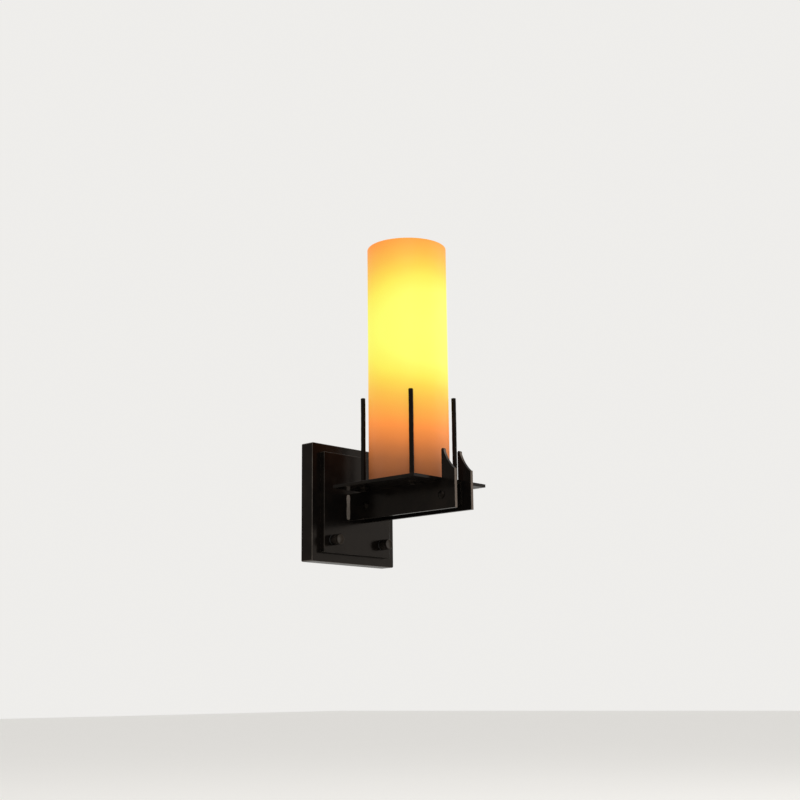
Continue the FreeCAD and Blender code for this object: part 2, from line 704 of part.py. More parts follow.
def build_stem():
    """Hollow threaded nipple through the tray, clamped by a nut below and a sleeve above."""
    outer, bore = S.nipple_diameter / 2, S.nipple_bore / 2
    low, high = web_bottom - 7, stem_top + 7
    nipple = turned_body("stem_nipple", [(bore, low), (outer, low), (outer, high), (bore, high)])
    place(nipple, 0, -S.tray_reach)
    washer = turned_body("nipple_washer", [
        (outer + 0.15, web_bottom - 1), (9, web_bottom - 1), (9, web_bottom), (outer + 0.15, web_bottom)])
    place(washer, 0, -S.tray_reach)
    nut = hex_nut("nipple_nut", 14, 3, S.nipple_diameter + 0.1)
    place(nut, 0, -S.tray_reach, web_bottom - 4)
    parts["nipple_nut"] = nut
    inner, wall = outer + 0.1, S.stem_diameter / 2
    sleeve = turned_body("stem_sleeve", [
        (inner, tray_top), (12, tray_top), (12, tray_top + 2), (wall + 2, tray_top + 3),
        (wall, tray_top + 5), (wall, stem_top), (inner, stem_top)], {3: (2.5, 1)})
    place(sleeve, 0, -S.tray_reach)


def build_lampholder():
    """Screw lampholder: domed cap, insulating insert, brass shell, centre tongue and skirt."""
    outer = S.holder_diameter / 2
    seat = S.insert_diameter / 2
    joint = stem_top + S.holder_cap_height
    top = joint + S.holder_body_height
    insert_low, insert_high = joint - 3, joint - 3 + S.insert_depth
    entry = S.nipple_diameter / 2 + 0.05
    shell_in = S.shell_bore / 2
    shell_out = shell_in + S.shell_gauge

    cap = turned_body("holder_cap", [
        (entry, stem_top), (9, stem_top), (outer, stem_top + 12), (outer, joint),
        (seat + 0.1, joint), (seat + 0.1, insert_low), (seat - 1.5, insert_low),
        (seat - 1.5, stem_top + 12), (9, stem_top + 8), (entry, stem_top + 8)],
        {1: (14, -1)})
    skirt = turned_body("holder_skirt", [
        (seat + 0.1, joint), (outer, joint), (outer, joint + 3), (outer - 1.5, joint + 4),
        (outer - 2.5, top - 2), (outer - 3.5, top), (shell_out + 0.25, top),
        (shell_out + 0.25, insert_high), (seat + 0.1, insert_high)])
    insert = new_body("holder_insert")
    disc = new_sketch(insert, "disc", "XY_Plane", insert_low)
    draw_circle(disc, 0, 0, S.insert_diameter)
    extrude(insert, disc, S.insert_depth)
    drillings = new_sketch(insert, "drillings", "XY_Plane", insert_low)
    for side in (-1, 1):
        draw_circle(drillings, side * 10, 0, 3.1)
    cut(insert, drillings, 3 * S.insert_depth, both=True)
    shell = turned_body("holder_shell", [
        (7, insert_high), (shell_out, insert_high), (shell_out, insert_high + S.shell_height),
        (shell_in, insert_high + S.shell_height), (shell_in, insert_high + S.shell_gauge),
        (7, insert_high + S.shell_gauge)])
    tongue = new_body("holder_tongue")
    strip = new_sketch(tongue, "strip", "YZ_Plane")
    crown = S.bulb_seat - 0.1
    draw_outline(strip, [
        (-6, insert_high), (-2.2, insert_high), (1.6, crown - 0.6), (4, crown - 0.6), (4, crown),
        (1, crown), (-2.8, insert_high + 0.6), (-6, insert_high + 0.6)])
    extrude(tongue, strip, 5, both=True)
    for piece in (cap, skirt, insert, shell, tongue):
        place(piece, 0, -S.tray_reach)

    screw = turned_body("holder_screw_master", [
        (0, 0), (2.7, 0), (2.7, 1.8), (1.5, 1.8), (1.5, 8.5), (0, 8.5)], keep=False)
    group("holder_screws", screw, both_sides(10, -S.tray_reach, insert_low - 1.8))


# ---------------------------------------------------------------- bulb

def build_bulb():
    """Pear-shaped bulb: screw cap, black end glass, centre contact, globe, stem and filament."""
    seat = S.bulb_seat
    cap_out = S.cap_diameter / 2
    cap_in = cap_out - S.cap_gauge
    contact = turned_body("bulb_contact", [
        (0, seat), (3.2, seat), (4.4, seat + 0.8), (4.4, seat + 1.5), (2, seat + 1.5),
        (2, seat + 3), (0, seat + 3)])
    end_glass = turned_body("bulb_end_glass", [
        (2.05, seat + 1.5), (5.2, seat + 1.5), (9.5, seat + S.cap_low), (9.5, seat + S.cap_low + 2),
        (2.05, seat + S.cap_low + 2)])
    cap_low, cap_high = seat + S.cap_low, seat + S.cap_high
    cap = turned_body("bulb_cap", [
        (9.5, cap_low), (10.5, cap_low), (cap_out, cap_low + 3), (cap_out, cap_high),
        (cap_in, cap_high), (cap_in, cap_low + 3.2), (10.2, cap_low + S.cap_gauge),
        (9.5, cap_low + S.cap_gauge)])

    radius, wall = S.bulb_diameter / 2, S.bulb_glass
    centre = seat + S.bulb_length - radius
    neck = S.neck_diameter / 2 - 0.6
    neck_top = cap_high + 3
    rise = centre - neck_top
    blend = (rise * rise + neck * neck - radius * radius) / (2 * (radius - neck))
    span = blend + radius
    across = (neck + blend) / span
    down = -rise / span
    outside = (across * radius, centre + down * radius)
    inside = (across * (radius - wall), centre + down * (radius - wall))
    neck_low = cap_high - 4
    crown = centre + radius
    crown_flat = 0.5
    globe = turned_body("bulb_globe", [
        (neck - wall, neck_low), (neck, neck_low), (neck, neck_top), outside,
        (crown_flat, crown), (0, crown), (0, crown - wall), (crown_flat, crown - wall), inside,
        (neck - wall, neck_top)],
        {2: (blend, 1), 3: (radius, -1), 7: (radius - wall, 1), 8: (blend + wall, -1)})

    stem = turned_body("bulb_stem", [
        (0, neck_low + 1), (8, neck_low + 1), (8, neck_low + 3), (3, neck_low + 16),
        (2, neck_low + 40), (0, neck_low + 40)])
    loop = doc.addObject("Part::Torus", "filament_loop")
    loop.Radius1 = 9
    loop.Radius2 = 0.5
    bind(loop, "Placement.Base.z", centre)
    leads = []
    for side in (-1, 1):
        lead = doc.addObject("Part::Cylinder", f"filament_lead_{side_name(side)}")
        lead.Radius = 0.4
        lead.Height = 30
        bind(lead, "Placement.Base.x", side * 9)
        bind(lead, "Placement.Base.z", centre - 30)
        leads.append(lead)
    bar = doc.addObject("Part::Cylinder", "filament_bar")
    bar.Radius = 0.4
    bar.Height = 18
    bar.Placement = FreeCAD.Placement(vector(), FreeCAD.Rotation(*TO_RIGHT))
    bind(bar, "Placement.Base.x", -9)
    bind(bar, "Placement.Base.z", centre - 30)
    filament = doc.addObject("Part::MultiFuse", "bulb_filament")
    filament.Shapes = [loop, bar, *leads]
    parts["bulb_filament"] = filament
    for piece in (contact, end_glass, cap, globe, stem, filament):
        place(piece, 0, -S.tray_reach)


# ---------------------------------------------------------------- glass

def build_glass():
    """Straight opal tube, open at both ends, standing on a thin ring between the rods."""
    outer = S.glass_diameter / 2
    inner = outer - S.glass_wall
    foot = tray_top + S.seat_gauge
    lip = 1.2
    shade = turned_body("glass_shade", [
        (inner + lip, foot), (outer - lip, foot), (outer, foot + lip), (outer, S.glass_top - lip),
        (outer - lip, S.glass_top), (inner + lip, S.glass_top), (inner, S.glass_top - lip),
        (inner, foot + lip)],
        {1: (lip, -1), 3: (lip, -1), 5: (lip, -1), 7: (lip, -1)})
    seat = turned_body("glass_seat", [
        (inner - 3, tray_top), (outer - 0.5, tray_top), (outer - 0.5, foot), (inner - 3, foot)])
    for piece in (shade, seat):
        place(piece, 0, -S.tray_reach)


# ---------------------------------------------------------------- assembly and export

def check_and_export():
    """Refuses failed features and bad solids, then writes one file for each piece."""
    doc.recompute()
    for item in doc.Objects:
        faults = [state for state in item.State if state in ("Invalid", "Error")]
        if faults:
            raise RuntimeError(f"{item.Label}: {faults}")
    for label, item in parts.items():
        if item.Shape.isNull() or not item.Shape.isValid() or not item.Shape.Solids:
            raise RuntimeError(f"{label} has no valid solid")
    os.makedirs(OUTPUT_FOLDER, exist_ok=True)
    for label, item in parts.items():
        item.Shape.exportStep(os.path.join(OUTPUT_FOLDER, f"{label}.step"))


build_bracket()
build_studs()
build_terminals()
build_pan()
build_panel()
build_thumb_nuts()
build_arm()
build_carrier()
build_tray()
build_rods()
build_stem()
build_lampholder()
build_bulb()
build_glass()
check_and_export()
print(f"{len(parts)} pieces written")
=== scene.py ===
"""Looks of the torch sconce: paint, metals and lit glass, with its turned, threaded and welded detail.

Everything is in metres in the frame of the CAD: origin in the wall's plane behind the box's centre,
+X right, +Y into the wall, +Z up along the glass.
"""

import json
import math

import bmesh
import bpy
from mathutils import Matrix, Vector


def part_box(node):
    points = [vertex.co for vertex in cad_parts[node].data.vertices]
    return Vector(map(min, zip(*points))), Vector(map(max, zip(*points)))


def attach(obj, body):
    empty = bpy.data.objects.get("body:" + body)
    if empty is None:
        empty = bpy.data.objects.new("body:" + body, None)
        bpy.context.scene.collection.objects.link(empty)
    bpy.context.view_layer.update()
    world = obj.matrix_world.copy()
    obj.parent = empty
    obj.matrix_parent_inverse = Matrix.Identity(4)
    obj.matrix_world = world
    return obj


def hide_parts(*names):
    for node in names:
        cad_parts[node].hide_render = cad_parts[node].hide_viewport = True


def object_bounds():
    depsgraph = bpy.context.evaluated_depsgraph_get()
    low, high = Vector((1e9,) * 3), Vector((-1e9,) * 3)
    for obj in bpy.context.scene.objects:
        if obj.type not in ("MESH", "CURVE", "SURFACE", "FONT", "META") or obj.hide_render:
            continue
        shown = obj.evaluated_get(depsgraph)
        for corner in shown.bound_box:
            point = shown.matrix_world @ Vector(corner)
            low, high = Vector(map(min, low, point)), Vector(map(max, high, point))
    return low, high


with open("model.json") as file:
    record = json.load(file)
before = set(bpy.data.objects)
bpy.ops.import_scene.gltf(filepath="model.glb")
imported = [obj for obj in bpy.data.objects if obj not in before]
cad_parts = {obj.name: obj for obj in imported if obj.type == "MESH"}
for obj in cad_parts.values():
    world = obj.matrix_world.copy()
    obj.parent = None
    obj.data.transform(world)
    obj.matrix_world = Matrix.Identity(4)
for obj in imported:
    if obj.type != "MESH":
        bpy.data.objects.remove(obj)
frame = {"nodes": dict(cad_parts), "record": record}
cad_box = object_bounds()

MM = 0.001
NODES = frame["nodes"]

# ---------------------------------------------------------------- the camera of the photograph

CAMERA_PLACE = Vector((-1.224118, -1.214498, -0.234079))
CAMERA_YAW = 47.705  # degrees to the right of straight at the wall
CAMERA_PITCH = 12.275  # degrees above level
CAMERA_ROLL = -0.659  # degrees about its own line of sight
CAMERA_LENS = 60.682  # millimetres
SENSOR_WIDTH = 36.0  # millimetres

# ---------------------------------------------------------------- colours, linear

BLACK_PAINT = (0.0040, 0.0034, 0.0030)
PAINT_DUST = (0.0085, 0.0064, 0.0050)
# Paint wear on thin edges, also standing in for a painted highlight along them.
WORN_PAINT_AND_SHEEN = (0.080, 0.064, 0.052)
RUBBED_EDGE_AND_SHEEN = (0.115, 0.100, 0.088)  # rounded corners of the plates, lightened by paint wear and by a painted highlight along them
# painted highlight on the bars' faces that look out of the wall
BAR_FRONT_HIGHLIGHT = (0.135, 0.105, 0.085)
# painted sheen on the thumb nuts' ends that look out of the wall
NUT_END_HIGHLIGHT = (0.030, 0.024, 0.019)
# painted highlight on the welds' sides that look out of the wall
WELD_HIGHLIGHT = (0.150, 0.130, 0.112)
WARM_GLOSS = (1.0, 0.80, 0.62)  # tint of the reflections in the paint
ZINC = (0.56, 0.57, 0.56)
ZINC_BLUE = (0.50, 0.52, 0.55)
BRASS = (0.72, 0.50, 0.22)
BRASS_DARK = (0.50, 0.33, 0.14)
NICKEL = (0.66, 0.62, 0.56)
NICKEL_DARK = (0.42, 0.38, 0.33)
SOLDER = (0.52, 0.52, 0.50)
TUNGSTEN = (0.40, 0.38, 0.35)
BAKELITE = (0.014, 0.012, 0.011)
BAKELITE_PALE = (0.026, 0.020, 0.016)
STEATITE = (0.72, 0.69, 0.62)
STEATITE_SPECK = (0.60, 0.55, 0.47)
NYLON = (0.74, 0.72, 0.66)
NYLON_SHADE = (0.66, 0.63, 0.56)
RUBBER = (0.018, 0.018, 0.018)
RUBBER_BLOOM = (0.034, 0.033, 0.032)
SILICONE = (0.40, 0.39, 0.36)
SILICONE_SHADE = (0.33, 0.32, 0.29)
BLACK_GLASS = (0.012, 0.012, 0.014)
BLACK_GLASS_SWIRL = (0.022, 0.020, 0.024)
CLEAR_GLASS = (0.92, 0.95, 0.94)
CLEAR_GLASS_SHADE = (0.86, 0.91, 0.89)
OPAL_SHADE = (0.25, 0.088, 0.030)
FROST = (0.80, 0.66, 0.42)
FLOOR = (0.66, 0.65, 0.63)
PALE_AIR = (0.86, 0.85, 0.83)

# Painted glow of the opal glass, standing in for the bulb's light shining through it: distance from the hot
# spot in metres, and the light painted on the glass there.
GLOW = (
    (0.000, (0.75, 0.95, 0.140)),
    (0.045, (0.75, 0.93, 0.125)),
    (0.065, (0.75, 0.78, 0.075)),
    (0.078, (0.75, 0.61, 0.050)),
    (0.093, (0.74, 0.45, 0.040)),
    (0.108, (0.74, 0.34, 0.033)),
    (0.127, (0.76, 0.22, 0.026)),
    (0.142, (0.56, 0.15, 0.020)),
    (0.155, (0.34, 0.09, 0.014)),
    (0.170, (0.15, 0.04, 0.007)),
    (0.188, (0.05, 0.01, 0.001)),
    (0.215, (0.01, 0.00, 0.000)),
)
HOT_SPOT_HEIGHT = 0.207
HOT_SPOT_SIDE = (0.673, -0.740)  # the way round the tube, from its axis, where the painted glow is brightest
HOT_SPOT_SPREAD = 0.76  # how fast the glow fades round the tube, against up and down it
BULB_GLOW = (1.0, 0.80, 0.40)
FILAMENT_GLOW = (1.0, 0.72, 0.32)

# ---------------------------------------------------------------- surface and thread sizes

PAINT_GLOSS = 0.060  # specular level of the black paint
FACING_BAND = 0.17  # over how much of a surface's slant the painted highlight on faces that look out of the wall gives way to paint
M4_PITCH = 0.7 * MM
M4_DEPTH = 0.38 * MM
M10_PITCH = 1.0 * MM
M10_DEPTH = 0.5 * MM
CAP_PITCH = 3.63 * MM
CAP_ROLL = 1.0 * MM  # how deep the bulb cap's round thread is pressed
RINGS_A_TURN = 6  # rings of points along one turn of a cut thread
ROLL_RINGS_A_TURN = 14  # the same along one turn of the bulb cap's thread
END_FLAT = 0.3 * MM  # radius of the small flat that closes a turned end

# ---------------------------------------------------------------- the room

FLOOR_DROP = 0.38  # from the lamp's lowest point to the floor
FLOOR_HALF = 12.0  # half the floor's side
FLOOR_LIFT = 0.28  # how much light the floor shows the camera on its own
AIR_LIGHT = 0.80  # light from the air all round


# ---------------------------------------------------------------- node graphs


class Paint:
    """A material built round one Principled shader, with short ways to add and join nodes."""

    def __init__(self, name, roughness=0.5, metallic=0.0, specular=0.5, **sockets):
        self.material = bpy.data.materials.new(name)
        self.material.use_nodes = True
        self.tree = self.material.node_tree
        self.shader = self.tree.nodes["Principled BSDF"]
        self.set("Roughness", roughness)
        self.set("Metallic", metallic)
        self.set("Specular IOR Level", specular)
        for socket, value in sockets.items():
            self.set(socket.replace("_", " ").title().replace("Ior", "IOR"), value)
        self.place = self.add("ShaderNodeTexCoord").outputs["Object"]

    def set(self, socket, value):
        """Puts a plain value on the shader, or joins an output to it."""
        self.feed(self.shader.inputs[socket], value)

    def feed(self, socket, value):
        if isinstance(value, bpy.types.NodeSocket):
            self.tree.links.new(value, socket)
        elif isinstance(value, tuple) and socket.type == "RGBA":
            socket.default_value = (*value, 1.0)
        else:
            socket.default_value = value

    def add(self, kind, **inputs):
        node = self.tree.nodes.new(kind)
        for name, value in inputs.items():
            self.feed(node.inputs[name], value)
        return node

    def noise(self, size, detail=3.0, stretch=(1.0, 1.0, 1.0)):
        """Cloudy noise from 0 to 1 whose lumps are about size metres, longer along stretched axes."""
        scale = self.add("ShaderNodeMapping", Vector=self.place)
        scale.inputs["Scale"].default_value = [1 / s for s in stretch]
        node = self.add("ShaderNodeTexNoise", Vector=scale.outputs["Vector"])
        node.inputs["Scale"].default_value = 1 / size
        node.inputs["Detail"].default_value = detail
        node.inputs["Roughness"].default_value = 0.55
        return node.outputs["Fac"]

    def spread(self, value, low, high, to_low=0.0, to_high=1.0):
        """Maps value from low..high to to_low..to_high, and holds it there outside."""
        node = self.add("ShaderNodeMapRange")
        for socket, number in zip(node.inputs, (value, low, high, to_low, to_high)):
            self.feed(socket, number)
        return node.outputs["Result"]

    def sum(self, *values, kind="ADD"):
        """Joins the values in turn by the math node's operation kind."""
        total = values[0]
        for value in values[1:]:
            node = self.add("ShaderNodeMath")
            node.operation = kind
            self.feed(node.inputs[0], total)
            self.feed(node.inputs[1], value)
            total = node.outputs[0]
        return total

    def product(self, *values):
        return self.sum(*values, kind="MULTIPLY")

    def blend(self, share, a, b):
        """Colour a, turning to colour b where share is 1."""
        node = self.add("ShaderNodeMix")
        node.data_type = "RGBA"
        self.feed(node.inputs["Factor"], share)
        self.feed(node.inputs[6], a)
        self.feed(node.inputs[7], b)
        return node.outputs[2]

    def relief(self, height, depth, radius=0.0):
        """Raises the surface by height x depth metres, over edges rounded by radius."""
        node = self.add("ShaderNodeBump", Height=height)
        node.inputs["Distance"].default_value = depth
        if radius:
            edge = self.add("ShaderNodeBevel")
            edge.inputs["Radius"].default_value = radius
            self.feed(node.inputs["Normal"], edge.outputs["Normal"])
        self.set("Normal", node.outputs["Normal"])

    def edges(self, radius):
        """1 along edges within radius of a corner, 0 on open faces."""
        rounded = self.add("ShaderNodeBevel")
        rounded.samples = 6
        rounded.inputs["Radius"].default_value = radius
        flat = self.add("ShaderNodeNewGeometry")
        node = self.add("ShaderNodeVectorMath")
        node.operation = "DOT_PRODUCT"
        self.feed(node.inputs[0], rounded.outputs["Normal"])
        self.feed(node.inputs[1], flat.outputs["True Normal"])
        return self.spread(node.outputs["Value"], 0.985, 0.80)

    def rounds(self):
        """1 on the rounded edges of a square piece, which look along none of its axes, 0 on its flats."""
        normal = self.add("ShaderNodeNewGeometry").outputs["Normal"]
        parts = self.add("ShaderNodeSeparateXYZ", Vector=normal).outputs
        squarest = self.sum(*(self.product(part, part) for part in parts), kind="MAXIMUM")
        return self.spread(squarest, 0.93, 0.70)


def black_iron(name, front=None, edge=0.5 * MM, slant=0.80, edge_wear_and_sheen=0.0):
    """Glossy black stoving paint on steel: slow waves, fine orange peel, dust, and thin edges lightened by
    wear and by a painted highlight.

    front is the colour of a painted highlight on the faces that look out of the wall, and slant is how
    squarely a face has to look that way. The last argument lightens the rounded edges, as wear and as a
    painted highlight.
    """
    paint = Paint(name, specular=PAINT_GLOSS, specular_tint=WARM_GLOSS)
    cloud = paint.noise(26 * MM, 4)
    grain = paint.noise(0.7 * MM, 2, stretch=(1, 1, 5))
    wave = paint.noise(34 * MM, 1)
    # thin edges lightened by wear and by a painted highlight
    worn_and_sheen = paint.product(paint.edges(edge), paint.spread(paint.noise(11 * MM, 5), 0.36, 0.60))
    colour = paint.blend(paint.spread(cloud, 0.45, 0.75), BLACK_PAINT, PAINT_DUST)
    colour = paint.blend(worn_and_sheen, colour, WORN_PAINT_AND_SHEEN)
    if edge_wear_and_sheen:
        # rounded edges painted lighter, partly as wear and partly as a painted highlight
        patchy = paint.spread(cloud, 0.38, 0.60, 0.45, 1.0)
        colour = paint.blend(paint.product(paint.rounds(), patchy, edge_wear_and_sheen), colour, RUBBED_EDGE_AND_SHEEN)
    if front:
        # faces that look out of the wall get a painted highlight, streaked by the grain
        normal = paint.add("ShaderNodeNewGeometry").outputs["Normal"]
        facing = paint.add("ShaderNodeSeparateXYZ", Vector=normal).outputs["Y"]
        squarely = paint.spread(facing, -slant, -slant - FACING_BAND)
        highlight_streaks = paint.spread(grain, 0.2, 0.6, 0.6, 1.0)
        colour = paint.blend(paint.product(squarely, highlight_streaks), colour, front)
    paint.set("Base Color", colour)
    paint.set("Roughness", paint.spread(paint.sum(cloud, grain), 0.7, 1.3, 0.14, 0.24))
    paint.relief(paint.sum(paint.product(wave, 3.0), paint.product(grain, 0.12)), 0.05 * MM, 0.4 * MM)
    return paint.material


def plated(name, bright, dull, roughness):
    """Plated or drawn metal: soft cloudy tarnish and a fine directional grain."""
    paint = Paint(name, metallic=1.0)
    cloud = paint.noise(7 * MM, 4)
    grain = paint.noise(0.5 * MM, 2, stretch=(1, 1, 6))
    paint.set("Base Color", paint.blend(paint.spread(cloud, 0.35, 0.7), bright, dull))
    paint.set("Roughness", paint.spread(paint.sum(cloud, grain), 0.7, 1.3, roughness - 0.07, roughness + 0.1))
    paint.relief(grain, 0.012 * MM, 0.15 * MM)
    return paint.material


def moulded(name, colour, shade, roughness, **sockets):
    """Moulded plastic, rubber or ceramic: faint clouding with a fine skin texture."""
    paint = Paint(name, **sockets)
    cloud = paint.noise(3 * MM, 4)
    skin = paint.noise(0.35 * MM, 3)
    paint.set("Base Color", paint.blend(paint.spread(cloud, 0.4, 0.75), colour, shade))
    paint.set("Roughness", paint.spread(cloud, 0.3, 0.7, roughness - 0.05, roughness + 0.08))
    paint.relief(skin, 0.02 * MM, 0.15 * MM)
    return paint.material


def clear_glass(name):
    """Clear lamp glass, faintly clouded."""
    paint = Paint(name, roughness=0.03, transmission_weight=1.0, ior=1.47)
    paint.set("Base Color", paint.blend(paint.noise(6 * MM), CLEAR_GLASS, CLEAR_GLASS_SHADE))
    return paint.material


def lit_opal(name, node):
    """Satin opal glass with a painted glow, as if lit from inside: a painted hot spot that cools to amber up
    and down and round the tube.
    """
    low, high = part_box(node)
    axis = (low + high) / 2
    radius = (high.x - low.x) / 2
    reach = GLOW[-1][0]
    paint = Paint(name, specular=0.22)
    x, y, z = paint.add("ShaderNodeSeparateXYZ", Vector=paint.place).outputs
    to_right, to_front = HOT_SPOT_SIDE
    side = paint.sum(paint.product(x, to_right), paint.product(paint.sum(y, -axis.y), to_front))
    round_tube = paint.product(paint.sum(side, -radius / 2), HOT_SPOT_SPREAD)
    wander = paint.spread(paint.noise(60 * MM, 2), 0.3, 0.7, -2 * MM, 2 * MM)
    up_tube = paint.sum(z, wander, -HOT_SPOT_HEIGHT)
    squares = paint.sum(paint.product(round_tube, round_tube), paint.product(up_tube, up_tube))
    distance = paint.sum(squares, 0.5, kind="POWER")
    ramp = paint.add("ShaderNodeValToRGB", Fac=paint.spread(distance, 0.0, reach))
    stops = ramp.color_ramp
    for _ in GLOW[2:]:
        stops.elements.new(0.5)
    for stop, (away, colour) in zip(stops.elements, GLOW):
        stop.position = away / reach
        stop.color = (*colour, 1.0)
    cloud = paint.noise(18 * MM, 4)
    paint.set("Base Color", paint.blend(cloud, OPAL_SHADE, tuple(c * 1.10 for c in OPAL_SHADE)))
    # painted light: the bulb's glow through the glass, given as the glass's own emission
    paint.set("Emission Color", ramp.outputs["Color"])
    paint.set("Emission Strength", 1.0)
    paint.set("Roughness", paint.spread(cloud, 0.3, 0.7, 0.50, 0.62))
    paint.relief(paint.noise(30 * MM, 2), 0.10 * MM)
    return paint.material


def lit_frost(name, glow, strength):
    """Inside-frosted glass or hot wire that gives its own light."""
    paint = Paint(name, roughness=0.28)
    cloud = paint.noise(9 * MM, 3)
    paint.set("Base Color", paint.blend(cloud, FROST, tuple(c * 0.9 for c in FROST)))
    paint.set("Emission Color", paint.blend(cloud, glow, tuple(c * 0.93 for c in glow)))
    paint.set("Emission Strength", strength)
    paint.relief(paint.noise(0.6 * MM, 2), 0.01 * MM)
    return paint.material


MATERIALS = {
    "black_iron": black_iron("gloss_black_iron"),
    "zinc_steel": plated("zinc_plated_steel", ZINC, ZINC_BLUE, 0.30),
    "brass": plated("drawn_brass", BRASS, BRASS_DARK, 0.30),
    "nickel_cap": plated("nickel_plated_brass", NICKEL, NICKEL_DARK, 0.24),
    "solder": plated("dull_solder", SOLDER, TUNGSTEN, 0.45),
    "tungsten": lit_frost("hot_filament", FILAMENT_GLOW, 4.0),
    "bakelite": moulded("black_bakelite", BAKELITE, BAKELITE_PALE, 0.30),
    "ceramic": moulded("white_steatite", STEATITE, STEATITE_SPECK, 0.62),
    "white_nylon": moulded("natural_nylon", NYLON, NYLON_SHADE, 0.48),
    "black_rubber": moulded("black_rubber", RUBBER, RUBBER_BLOOM, 0.66),
    "clear_silicone": moulded("clear_silicone", SILICONE, SILICONE_SHADE, 0.40, transmission_weight=0.7),
    "end_glass": moulded("black_glass", BLACK_GLASS, BLACK_GLASS_SWIRL, 0.12),
    "stem_glass": clear_glass("clear_stem_glass"),
    "opal_glass": lit_opal("lit_opal_glass", "glass_shade"),
    "frosted_glass": lit_frost("lit_frosted_glass", BULB_GLOW, 1.1),
}

# Finishes of single pieces that stand in for the plain black iron of their slot.
PAN_IRON = black_iron("gloss_black_sheet", edge_wear_and_sheen=1.0)
PANEL_IRON = black_iron("gloss_black_plate", edge_wear_and_sheen=0.35)
BAR_IRON = black_iron("black_bar_iron", front=BAR_FRONT_HIGHLIGHT)
NUT_IRON = black_iron("black_turned_iron", front=NUT_END_HIGHLIGHT, edge=0.15 * MM)
WELD_IRON = black_iron("weld_iron", front=WELD_HIGHLIGHT, slant=0.25)


def dress_cad_nodes():
    """Gives each CAD node the finish of the material slot that the record names for it."""
    for part in frame["record"]["subparts"]:
        piece = NODES[part["node"]]
        piece.data.materials.clear()
        piece.data.materials.append(MATERIALS[part["material_slot"]])
    for node in ("arm_side_left", "arm_side_right"):
        NODES[node].data.materials[0] = BAR_IRON
    NODES["wall_pan"].data.materials[0] = PAN_IRON
    NODES["face_panel"].data.materials[0] = PANEL_IRON


# ---------------------------------------------------------------- turned, threaded and welded detail


def turned(place, axis, outline, around, closed=False, shape=None):
    """Vertices and faces of a turned solid from its half section, (radius, distance along axis) points.

    A closed outline makes a ring; an open one is capped at both ends. shape(radius, along, angle)
    gives the radius at each point, for threads and knurls.
    """
    axis = Vector(axis)
    across = axis.orthogonal().normalized()
    third = axis.cross(across)
    vertices = []
    for radius, along in outline:
        for step in range(around):
            angle = 2 * math.pi * step / around
            reach = shape(radius, along, angle) if shape else radius
            outward = across * math.cos(angle) + third * math.sin(angle)
            vertices.append(place + axis * along + outward * reach)
    rows = len(outline)
    faces = []
    for row in range(rows if closed else rows - 1):
        low, high = row * around, (row + 1) % rows * around
        for step in range(around):
            following = (step + 1) % around
            faces.append((low + step, low + following, high + following, high + step))
    if not closed:
        faces.append(tuple(reversed(range(around))))
        faces.append(tuple(range((rows - 1) * around, rows * around)))
    return vertices, faces


def make_piece(name, solids, body, node, material):
    """One object from several closed solids: it rides on body and stands for node."""
    mesh = bpy.data.meshes.new(name)
    built = bmesh.new()
    for vertices, faces in solids:
        corners = [built.verts.new(spot) for spot in vertices]
        for face in faces:
            built.faces.new([corners[number] for number in face])
    bmesh.ops.recalc_face_normals(built, faces=built.faces)
    built.to_mesh(mesh)
    built.free()
    mesh.shade_smooth()
    mesh.set_sharp_from_angle(angle=math.radians(40))
    mesh.materials.append(material)
    piece = bpy.data.objects.new(name, mesh)
    bpy.context.collection.objects.link(piece)
    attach(piece, body)
    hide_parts(node)


def steps(low, high, spacing):
    """Evenly spaced distances from low to high, about spacing apart."""
    count = max(1, round((high - low) / spacing))
    return [low + (high - low) * number / count for number in range(count + 1)]


def thread(pitch, depth, low, high):
    """A rounded thread cut into the surface between low and high, run out over one pitch at each end."""
    def shape(radius, along, angle):
        run_out = min(max((along - low) / pitch, 0), max((high - along) / pitch, 0), 1)
        wave = 0.5 - 0.5 * math.cos(2 * math.pi * along / pitch - angle)
        return radius - depth * run_out * wave
    return shape


def build_thumb_nut(side):
    """Diamond-knurled blind nut with plain collars and a dished, turned end."""
    node = f"thumb_nut_{side}"
    low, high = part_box(node)
    place = Vector(((low.x + high.x) / 2, high.y, (low.z + high.z) / 2))
    radius, length = (high.x - low.x) / 2, high.y - low.y
    bore, end_wall, collar = 2.05 * MM, 1.6 * MM, 1.5 * MM
    ease, dish = 0.7 * MM, 0.25 * MM
    ribs, cut, ring = 22, 0.32 * MM, 0.35 * MM
    twist = 1 / (4.2 * MM)
    knurled = steps(collar, length - 1.4 * collar, ring)

    def knurl(at, along, angle):
        if at < radius or not knurled[0] < along < knurled[-1]:
            return at
        one = abs(math.sin(ribs / 2 * angle + along * twist * math.pi))
        other = abs(math.sin(ribs / 2 * angle - along * twist * math.pi))
        return at - cut * (1 - min(one, other))

    outline = [(bore, length - end_wall), (bore, 0), (radius - ease, 0), (radius, ease)]
    outline += [(radius, along) for along in knurled]
    outline += [(radius, length - ease), (radius - 0.35 * ease, length - 0.35 * ease)]
    outline += [(radius - ease, length), (radius - 2 * ease, length)]
    outline += [(radius - 2.5 * ease, length - dish), (END_FLAT, length - dish)]
    solid = turned(place, (0, -1, 0), outline, 6 * ribs, shape=knurl)
    make_piece(f"knurled_nut_{side}", [solid], f"nut_{side}", node, NUT_IRON)


